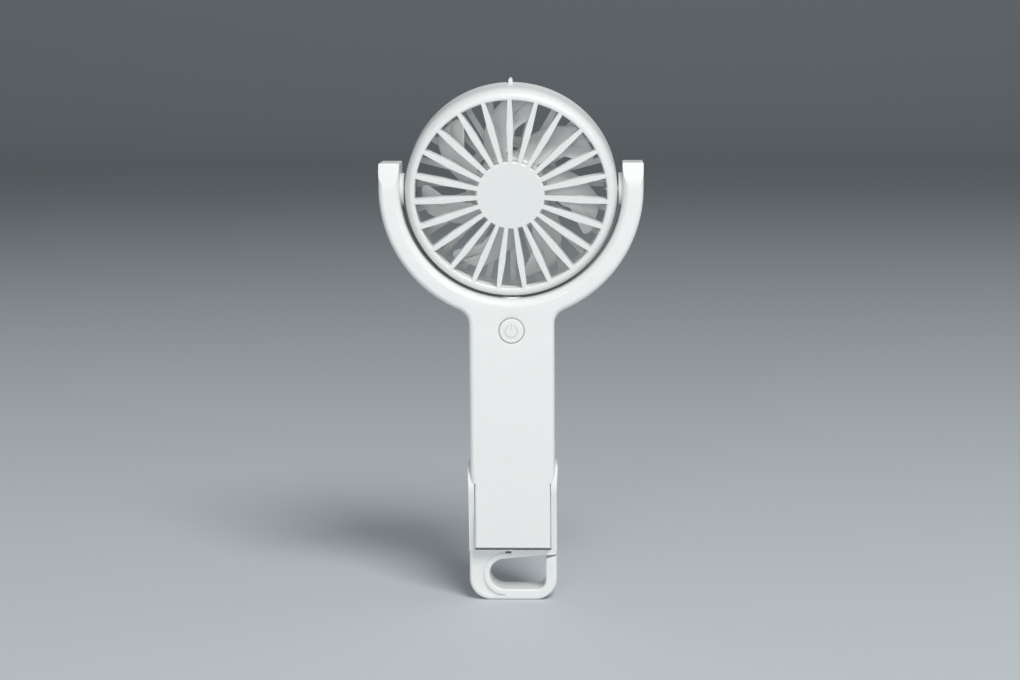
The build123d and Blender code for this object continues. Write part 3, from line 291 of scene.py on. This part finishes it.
def plated_socket(name, colour):
    """Plated steel mouth round a black tongue with gilt contacts."""
    tongue_half_width = 3.35 * MILLIMETRE
    tongue_half_height = 0.4 * MILLIMETRE
    contact_pitch = 0.5 * MILLIMETRE
    contact_width = 0.28 * MILLIMETRE
    contacts_half_width = 3.0 * MILLIMETRE
    black = (0.03, 0.03, 0.032)
    gilt = (0.85, 0.62, 0.28)
    finish = Finish(name)
    low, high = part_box("usb_socket")
    middle = (low + high) / 2
    across, _, up = finish.axes(finish.place(shift=[-value for value in middle]))
    tongue = (abs(across) < tongue_half_width) * (abs(up) < tongue_half_height)
    stripes = finish.maths("WRAP", across, contact_pitch, 0.0) < contact_width
    contact = tongue * stripes * (abs(across) < contacts_half_width)
    marks = finish.noise(finish.place(scale=(1, 4, 1)), 1.0 * MILLIMETRE, 3)
    plate = finish.tint(marks, shade(colour, 0.9), shade(colour, 1.08))
    return finish.surface({
        "Base Color": finish.tint(contact, finish.tint(tongue, plate, black), gilt),
        "Metallic": 1 - tongue * (1 - contact),
        "Roughness": 0.3 + tongue * 0.2 + (marks - 0.5) * 0.15,
    })


def studio_paper(name, colour, painted_shade_colour):
    """Matt paper with a barely visible mottle, whose tone turns into a darker one behind the fan: painted
    shade, which shows through the grilles in place of the shade inside the fan's head.

    The turn is even over its length along Y and rounded off at both ends.
    """
    turn_length = 2.0
    rounding = 0.2
    finish = Finish(name)
    place = finish.place()
    mottle = finish.noise(place, 0.15, 4)
    # Painted shade: the share of the darker backdrop tone, which rises behind the fan.
    behind = finish.maths("SMOOTH_MAX", finish.axes(place)[1] * (1 / turn_length), 0, rounding)
    behind = finish.maths("SMOOTH_MIN", behind, 1, rounding)
    pale = finish.tint(mottle, shade(colour, 0.985), shade(colour, 1.01))
    return finish.surface({
        "Base Color": finish.tint(behind, pale, painted_shade_colour),
        "Roughness": 0.75,
    })


# --- Mesh helpers ---------------------------------------------------------------------------------
def shade_curves(piece):
    """Weld the points, keep corners crisp, and let large flat faces set the normals along their edges."""
    weld = piece.modifiers.new("Weld", "WELD")
    weld.merge_threshold = WELD_DISTANCE
    split = piece.modifiers.new("Crisp edges", "EDGE_SPLIT")
    split.split_angle = SMOOTH_ANGLE
    even = piece.modifiers.new("Flat faces first", "WEIGHTED_NORMAL")
    even.mode = "FACE_AREA"
    even.weight = FLAT_FACE_WEIGHT


def dress(material, *names):
    """Give nodes a finish, and shade their curved faces smooth without touching their corners."""
    for name in names:
        node = frame["nodes"][name]
        mesh = node.data
        mesh.materials.clear()
        mesh.materials.append(material)
        mesh.polygons.foreach_set("material_index", np.zeros(len(mesh.polygons), np.int32))
        mesh.polygons.foreach_set("use_smooth", np.ones(len(mesh.polygons), bool))
        shade_curves(node)


def mesh_object(name, points, faces, material):
    """Add a smooth shaded mesh of the points and faces to the scene."""
    mesh = bpy.data.meshes.new(name)
    mesh.from_pydata(points.tolist(), [], faces.tolist())
    mesh.polygons.foreach_set("use_smooth", np.ones(len(faces), bool))
    mesh.materials.append(material)
    piece = bpy.data.objects.new(name, mesh)
    bpy.context.scene.collection.objects.link(piece)
    return piece


def solid_boxes(name):
    """Lowest and highest corner of each separate solid of a node.

    Every point starts with a label of its own, and the lowest label spreads over touching triangles.
    """
    mesh = frame["nodes"][name].data
    corners = np.empty(len(mesh.vertices) * 3)
    mesh.vertices.foreach_get("co", corners)
    corners = corners.reshape(-1, 3)
    triangles = np.empty(len(mesh.loops), np.int64)
    mesh.loops.foreach_get("vertex_index", triangles)
    _, shared = np.unique(np.round(corners / WELD_DISTANCE), axis=0, return_inverse=True)
    triangles = shared.reshape(-1)[triangles].reshape(-1, 3)
    labels = np.arange(shared.max() + 1)
    before = None
    while before is None or (before != labels).any():
        before = labels.copy()
        lowest = labels[triangles].min(axis=1)
        np.minimum.at(labels, triangles.reshape(-1), np.repeat(lowest, 3))
    owners = labels[shared.reshape(-1)]
    solids = [corners[owners == label] for label in np.unique(owners)]
    return [(points.min(axis=0), points.max(axis=0)) for points in solids]


def join_grids(name, grids, material):
    """One mesh of several grids of points, with faces between neighbours, each closed round its columns."""
    points = []
    faces = []
    first = 0
    for grid in grids:
        rows, columns = grid.shape[:2]
        corner = first + np.arange(rows * columns).reshape(rows, columns)
        beside = np.roll(corner, -1, axis=1)
        faces.append(np.stack([corner[:-1], corner[1:], beside[1:], beside[:-1]], axis=-1).reshape(-1, 4))
        points.append(grid.reshape(-1, 3))
        first += rows * columns
    piece = mesh_object(name, np.concatenate(points), np.concatenate(faces), material)
    shade_curves(piece)
    return piece


def cross_screw(low, high, points_back):
    """Pan-head screw on the Y axis of its box, as circles of points from its head to its point.

    The head's top is a shallow dome, lower by the square of the radius. A cross is sunk into it: its depth
    is a soft step of how far a point lies inside either of two crossed bars. The shank's radius swells by a
    raised cosine of the height less the angle, which winds one ridge round it, and tapers off at the point.
    """
    short_length = 8 * MILLIMETRE
    short_head_share = 0.26
    long_head_height = 1.3 * MILLIMETRE
    shank_share = 0.52
    dome = 0.25 * MILLIMETRE
    cross_reach_share = 0.62
    cross_half_width = 0.26 * MILLIMETRE
    cross_depth = 0.75 * MILLIMETRE
    side_slope = 0.08 * MILLIMETRE
    end_slope = 0.2 * MILLIMETRE
    pitch = 0.85 * MILLIMETRE
    ridge = 0.16 * MILLIMETRE
    ridge_sharpness = 3
    point_length = 1.2 * MILLIMETRE
    around, head_rings, shank_rings = 72, 34, 90

    head_r = (high[0] - low[0]) / 2
    shank_r = shank_share * head_r
    length = high[1] - low[1]
    head_height = short_head_share * length if length < short_length else long_head_height
    angle = np.linspace(0, FULL_TURN, around, endpoint=False)[None, :]

    radius = np.linspace(0, 1, head_rings)[:, None] * head_r
    along_bar = np.maximum(abs(radius * np.cos(angle)), abs(radius * np.sin(angle)))
    across_bar = np.minimum(abs(radius * np.cos(angle)), abs(radius * np.sin(angle)))
    inside = np.clip((cross_half_width - across_bar) / side_slope, 0, 1)
    inside = inside * np.clip((cross_reach_share * head_r - along_bar) / end_slope, 0, 1)
    top = dome * (radius / head_r) ** 2 + cross_depth * inside

    under = np.array([[head_r, head_height], [shank_r, head_height]])
    height = np.linspace(head_height, length, shank_rings)[:, None]
    wave = 0.5 + 0.5 * np.cos(FULL_TURN * height / pitch - angle)
    thread = shank_r - ridge + ridge * wave**ridge_sharpness
    taper = np.clip((length - height) / point_length, 0, 1)

    rings = [np.stack(np.broadcast_arrays(radius, top), axis=-1)]
    rings.append(np.broadcast_to(under[:, None, :], (len(under), around, 2)))
    rings.append(np.stack(np.broadcast_arrays(thread * taper, height), axis=-1))
    profile = np.concatenate(rings)
    out, down = profile[..., 0], profile[..., 1]
    x = (low[0] + high[0]) / 2 + out * np.cos(angle)
    z = (low[2] + high[2]) / 2 + out * np.sin(angle)
    if points_back:
        return np.stack([x, low[1] + down, z], axis=-1)
    return np.stack([x, high[1] - down, z], axis=-1)[:, ::-1]


def head_axes():
    """The head's own axes and their origin: across, up and forwards along the shaft."""
    spin = next(joint for joint in frame["joints"] if joint["name"] == "impeller_spin")
    forwards = np.array(spin["axis"])
    across = np.array([1.0, 0.0, 0.0])
    return across, np.cross(forwards, across), forwards, np.array(spin["pos_m"])


def carried_tube(path, radius, sides=6):
    """Round tube along a path: circles of the radius, square to the path's direction at each of its points.

    The circles start at the side that is square to both the path and one fixed direction, which no part of
    the path runs along.
    """
    fixed_direction = np.array([0.31, 0.27, 0.91])
    along = np.gradient(path, axis=0)
    along /= np.linalg.norm(along, axis=1, keepdims=True)
    side = np.cross(along, fixed_direction)
    side /= np.linalg.norm(side, axis=1, keepdims=True)
    other = np.cross(along, side)
    turn = np.linspace(0, FULL_TURN, sides, endpoint=False)[None, :, None]
    circle = np.cos(turn) * side[:, None, :] + np.sin(turn) * other[:, None, :]
    rings = path[:, None, :] + radius * circle
    ends = [np.repeat(path[[index]][:, None, :], sides, axis=1) for index in (0, -1)]
    return np.concatenate([ends[0], rings, ends[1]])


def coil_path(pole_angle, wire_r):
    """Middle line of one coil: a rounded rectangle round the pole that winds out along it and back.

    The rectangle is a superellipse. Its half sizes grow by almost one wire for each layer, and the place
    along the pole is a triangle wave of the number of turns. The coil spans inner to outer along the pole
    from the shaft, half_pole to either side of it, and stack_low to stack_high along the shaft.
    """
    inner, outer = 5.45 * MILLIMETRE, 8.40 * MILLIMETRE
    half_pole = 1.55 * MILLIMETRE
    stack_low, stack_high = -6.05 * MILLIMETRE, 1.05 * MILLIMETRE
    layers = 2
    wire_pitch = 2.05 * wire_r
    layer_growth = 1.9 * wire_r
    points_per_turn = 28
    squareness = 5

    turns = int((outer - inner) / wire_pitch)
    count = np.linspace(0, layers * turns, layers * turns * points_per_turn)
    layer = np.minimum(count // turns, layers - 1)
    run = (count - layer * turns) / turns
    place = inner + (outer - inner) * np.where(layer % 2 == 0, run, 1 - run)
    grown = wire_r + layer_growth * layer
    cosine = np.cos(FULL_TURN * count)
    sine = np.sin(FULL_TURN * count)
    power = 2 / squareness
    half_height = (stack_high - stack_low) / 2
    wide = (half_pole + grown) * np.sign(cosine) * abs(cosine) ** power
    high = (half_height + grown) * np.sign(sine) * abs(sine) ** power + (stack_low + stack_high) / 2
    across, up, forwards, middle = head_axes()
    outwards = math.cos(pole_angle) * across + math.sin(pole_angle) * up
    beside = -math.sin(pole_angle) * across + math.cos(pole_angle) * up
    return middle + place[:, None] * outwards + wide[:, None] * beside + high[:, None] * forwards


# --- Properties -----------------------------------------------------------------------------------
def colour_property(name, description, default):
    """A colour that the panel shows as a swatch."""
    return bpy.props.FloatVectorProperty(
        name=name, description=description, default=default, subtype="COLOR", size=3, min=0, max=1
    )


class HandFanColours(bpy.types.PropertyGroup):
    """Colours and sheen of the fan's finishes."""

    shell: colour_property("Shell", "Colour of handle, yoke and head", (0.822, 0.833, 0.82))
    # Painted light: the impeller is the shell's white, made a little lighter to brighten it in the shade
    # inside the head.
    impeller: colour_property("Impeller", "Colour of the impeller", (0.83, 0.84, 0.835))
    steel: colour_property("Steel", "Colour of pins, clips and screws", (0.56, 0.57, 0.58))
    cell: colour_property("Cell wrap", "Colour of the cell's film", (0.12, 0.34, 0.55))
    board: colour_property("Board", "Colour of the boards' resist", (0.02, 0.20, 0.07))
    sheen: bpy.props.FloatProperty(
        name="Roughness", description="Roughness of the white plastic", subtype="FACTOR",
        default=0.36, min=0, max=1,
    )


class HandFanStudio(bpy.types.PropertyGroup):
    """Camera, floor and lights."""

    lens: bpy.props.FloatProperty(
        name="Lens", description="Focal length on a 36 mm sensor", subtype="DISTANCE_CAMERA",
        default=75.9, min=10,
    )
    distance: bpy.props.FloatProperty(
        name="Distance", description="From the camera to the fan's axis", unit="LENGTH",
        default=0.92, min=0.1,
    )
    elevation: bpy.props.FloatProperty(
        name="Elevation", description="How far the camera looks down", subtype="ANGLE",
        default=math.radians(8.8),
    )
    azimuth: bpy.props.FloatProperty(
        name="Azimuth", description="How far the camera stands to the right", subtype="ANGLE",
        default=math.radians(2.0),
    )
    roll: bpy.props.FloatProperty(
        name="Roll", description="How far the camera is turned about its own axis", subtype="ANGLE",
        default=math.radians(0.35),
    )
    aim_height: bpy.props.FloatProperty(
        name="Aim height", description="Height that the camera looks at", unit="LENGTH",
        default=0.1128,
    )
    side_shift: bpy.props.FloatProperty(
        name="Side shift", description="Pixels that the fan stands right of the picture's middle",
        default=2.4,
    )
    floor: colour_property("Floor", "Colour of floor and backdrop", (0.60, 0.645, 0.67))
    # Painted shade: the paper behind the fan is darker than the floor, so that the grille openings show
    # dark as the shade inside the head does.
    backdrop: colour_property("Backdrop", "Colour of the paper behind the fan", (0.30, 0.33, 0.35))
    key_power: bpy.props.FloatProperty(
        name="Key light", description="Power of the large light on the right", subtype="POWER",
        default=45.0, min=0,
    )
    front_power: bpy.props.FloatProperty(
        name="Front light", description="Power of the light beside the camera", subtype="POWER",
        default=13.0, min=0,
    )
    rim_power: bpy.props.FloatProperty(
        name="Rim light", description="Power of the light behind on the left", subtype="POWER",
        default=0.6, min=0,
    )
    sky: bpy.props.FloatProperty(
        name="Room light", description="Strength of the even light from all round",
        default=0.23, min=0,
    )


# --- Operators ------------------------------------------------------------------------------------
class HANDFAN_OT_white_mouldings(bpy.types.Operator):
    """Satin white finish for the handle, yoke, head, loop, button and bushes"""

    bl_idname = "handfan.white_mouldings"
    bl_label = "White mouldings"

    def execute(self, context):
        grain = 0.012 * MILLIMETRE
        mark_reach = 0.1 * MILLIMETRE
        colours = context.scene.hand_fan_colours
        shell = moulded_plastic("shell_white", colours.shell, colours.sheen, grain)
        dress(shell, "front_shell", "rear_shell", "front_grille", "rear_housing")
        loop = moulded_plastic("loop_white", shade(colours.shell, 0.99), colours.sheen + 0.05, 1.5 * grain)
        dress(loop, "stand_loop", "left_pivot_bush", "right_pivot_bush")
        # The raised power symbol stands within this reach of the button's front and is tinted a little
        # darker.
        mark_front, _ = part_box("power_button")
        mark_base = mark_front.y + mark_reach
        button = moulded_plastic("button_white", colours.shell, colours.sheen, grain, mark_base)
        dress(button, "power_button")
        return {"FINISHED"}


class HANDFAN_OT_impeller(bpy.types.Operator):
    """Slightly duller white finish for the impeller, painted a little lighter than the shell to brighten it
    in the head's shade
    """

    bl_idname = "handfan.impeller"
    bl_label = "Impeller"

    def execute(self, context):
        colours = context.scene.hand_fan_colours
        # The impeller's colour is painted light: a little lighter than the shell, for its place in the
        # head's shade.
        dress(moulded_plastic("impeller_white_painted_light", colours.impeller, 0.42, 0.01 * MILLIMETRE), "impeller")
        return {"FINISHED"}


class HANDFAN_OT_metal_pieces(bpy.types.Operator):
    """Steel and bronze finishes for pins, clips, shaft and motor, and plating for the socket"""

    bl_idname = "handfan.metal_pieces"
    bl_label = "Metal pieces"

    def execute(self, context):
        colours = context.scene.hand_fan_colours
        steel = turned_metal("pin_steel", colours.steel, 0.3)
        dress(steel, "left_pivot_pin", "right_pivot_pin", "pivot_washers", "pivot_clips")
        dress(steel, "motor_shaft", "shaft_clip")
        dress(turned_metal("core_steel", shade(colours.steel, 0.7), 0.45), "stator_core", "rotor_cup")
        dress(turned_metal("bearing_bronze", (0.62, 0.42, 0.22), 0.38), "motor_bearings")
        dress(plated_socket("socket_plate", (0.66, 0.66, 0.67)), "usb_socket")
        return {"FINISHED"}


class HANDFAN_OT_screws(bpy.types.Operator):
    """Screws with a crossed recess and a wound thread, in place of the plain ones"""

    bl_idname = "handfan.screws"
    bl_label = "Screws"

    def execute(self, context):
        steel = turned_metal("thread_steel", shade(context.scene.hand_fan_colours.steel, 0.85), 0.3)
        for name, points_back in (("shell_screws", False), ("board_screws", True)):
            screws = [cross_screw(low, high, points_back) for low, high in solid_boxes(name)]
            piece = join_grids(f"{name}_threaded", screws, steel)
            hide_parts(name)
            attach(piece, "handle")
        return {"FINISHED"}


class HANDFAN_OT_coils(bpy.types.Operator):
    """Coils of round wire, wound turn by turn on the poles"""

    bl_idname = "handfan.coils"
    bl_label = "Coils"

    def execute(self, context):
        wire_r = 0.16 * MILLIMETRE
        poles = len(solid_boxes("stator_windings"))
        angles = [index * FULL_TURN / poles for index in range(poles)]
        coils = [carried_tube(coil_path(angle, wire_r), wire_r) for angle in angles]
        piece = join_grids("wound_coils", coils, wound_copper("coil_wire", (0.72, 0.32, 0.13)))
        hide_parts("stator_windings")
        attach(piece, "head")
        return {"FINISHED"}


class HANDFAN_OT_electric_pieces(bpy.types.Operator):
    """Finishes for the boards, the cell, its pads, the switch and the magnet"""

    bl_idname = "handfan.electric_pieces"
    bl_label = "Electric pieces"

    def execute(self, context):
        colours = context.scene.hand_fan_colours
        dress(printed_board("board_resist", colours.board), "control_board", "motor_board")
        dress(shrink_wrap("cell_wrap", colours.cell), "battery_cell")
        black = (0.03, 0.03, 0.033)
        package = rough_grain("component_black", black, 0.5, 0.2 * MILLIMETRE, 0.01 * MILLIMETRE)
        dress(package, "board_components", "tact_switch", "switch_plunger")
        charcoal = (0.035, 0.035, 0.035)
        foam = rough_grain("pad_foam", charcoal, 0.85, 0.5 * MILLIMETRE, 0.25 * MILLIMETRE)
        dress(foam, "battery_pads")
        grey = (0.06, 0.06, 0.065)
        ferrite = rough_grain("magnet_ferrite", grey, 0.6, 0.3 * MILLIMETRE, 0.02 * MILLIMETRE)
        dress(ferrite, "ring_magnet")
        dress(turned_metal("tab_nickel", (0.60, 0.58, 0.54), 0.35), "battery_tabs")
        dress(wire_cover("battery_wire", (0.55, 0.03, 0.03)), "battery_leads")
        dress(wire_cover("motor_wire", (0.62, 0.63, 0.62)), "handle_lead", "head_lead")
        return {"FINISHED"}


class HANDFAN_OT_studio(bpy.types.Operator):
    """Paper sweep, soft lights and the camera"""

    bl_idname = "handfan.studio"
    bl_label = "Studio"

    def execute(self, context):
        studio = context.scene.hand_fan_studio
        # The paper darkens to the backdrop colour behind the fan: painted shade seen through the grilles.
        paper_sweep(studio_paper("paper_pale_with_painted_shade", studio.floor, studio.backdrop))
        aim = Vector((0, 0, studio.aim_height))
        lamps = (
            ("Key light", (0.75, -1.45, 2.0), 1.0, studio.key_power),
            ("Front light", (-0.25, -2.3, 0.45), 1.1, studio.front_power),
            ("Rim light", (-0.9, 0.5, 0.8), 0.6, studio.rim_power),
        )
        for name, place, size, power in lamps:
            soft_light(name, place, aim, size, power)
        room_light(context.scene, studio.sky)
        context.scene.view_settings.view_transform = "Standard"
        stand_camera(context.scene, studio, aim)
        return {"FINISHED"}


def paper_sweep(material):
    """Floor that curves up into a backdrop: two lines joined by a quarter circle, carried along X."""
    half_width = 4.0
    front, back = -4.0, 2.6
    bend_r = 1.0
    height = 3.0
    turn = np.linspace(0, math.pi / 2, 24)
    along = np.concatenate([[front], back + bend_r * np.sin(turn), [back + bend_r]])
    up = np.concatenate([[0], bend_r * (1 - np.cos(turn)), [height]])
    sides = [np.stack([np.full(len(along), x), along, up], axis=-1) for x in (-half_width, half_width)]
    left = np.arange(len(along))
    right = left + len(along)
    faces = np.stack([left[:-1], right[:-1], right[1:], left[1:]], axis=-1)
    return mesh_object("paper_sweep", np.concatenate(sides), faces, material)


def soft_light(name, place, aim, size, power):
    """Square area light that faces the aim."""
    light = bpy.data.lights.new(name, "AREA")
    light.energy = power
    light.size = size
    lamp = bpy.data.objects.new(name, light)
    lamp.location = place
    lamp.rotation_euler = (aim - Vector(place)).to_track_quat("-Z", "Y").to_euler()
    bpy.context.scene.collection.objects.link(lamp)


def room_light(scene, strength):
    """Even pale light from all round."""
    world = bpy.data.worlds.new("Room")
    world.use_nodes = True
    background = world.node_tree.nodes["Background"]
    background.inputs["Color"].default_value = (0.93, 0.97, 1.0, 1)
    background.inputs["Strength"].default_value = strength
    scene.world = world


def stand_camera(scene, studio, aim):
    """Camera on a sphere about the aim, looking at it and then turned by the roll."""
    data = bpy.data.cameras.new("Camera")
    data.lens = studio.lens
    data.sensor_width = SENSOR_WIDTH
    data.shift_x = -studio.side_shift / IMAGE_WIDTH
    level = math.cos(studio.elevation)
    right = math.sin(studio.azimuth) * level
    away = -math.cos(studio.azimuth) * level
    back = Vector((right, away, math.sin(studio.elevation)))
    place = Matrix.Translation(aim + back * studio.distance)
    facing = (-back).to_track_quat("-Z", "Y").to_matrix().to_4x4()
    camera = bpy.data.objects.new("Camera", data)
    camera.matrix_world = place @ facing @ Matrix.Rotation(-studio.roll, 4, "Z")
    scene.collection.objects.link(camera)
    scene.camera = camera


# --- Add-on ---------------------------------------------------------------------------------------
OPERATORS = (
    HANDFAN_OT_studio,
    HANDFAN_OT_white_mouldings,
    HANDFAN_OT_impeller,
    HANDFAN_OT_metal_pieces,
    HANDFAN_OT_screws,
    HANDFAN_OT_coils,
    HANDFAN_OT_electric_pieces,
)


class HANDFAN_PT_panel(bpy.types.Panel):
    """Lists the fan's colours, its studio and its operators"""

    bl_label = "Hand Fan"
    bl_space_type = "VIEW_3D"
    bl_region_type = "UI"
    bl_category = "Hand Fan"

    def draw(self, context):
        for group in (context.scene.hand_fan_colours, context.scene.hand_fan_studio):
            box = self.layout.box()
            for name in group.bl_rna.properties.keys():
                if name not in {"rna_type", "name"}:
                    box.prop(group, name)
        for operator in OPERATORS:
            self.layout.operator(operator.bl_idname)


CLASSES = (HandFanColours, HandFanStudio, *OPERATORS, HANDFAN_PT_panel)


def register():
    for each in CLASSES:
        bpy.utils.register_class(each)
    bpy.types.Scene.hand_fan_colours = bpy.props.PointerProperty(type=HandFanColours)
    bpy.types.Scene.hand_fan_studio = bpy.props.PointerProperty(type=HandFanStudio)


def unregister():
    del bpy.types.Scene.hand_fan_studio
    del bpy.types.Scene.hand_fan_colours
    for each in reversed(CLASSES):
        bpy.utils.unregister_class(each)


def main():
    register()
    for operator in OPERATORS:
        group, name = operator.bl_idname.split(".")
        getattr(getattr(bpy.ops, group), name)()


if __name__ == "__main__":
    main()
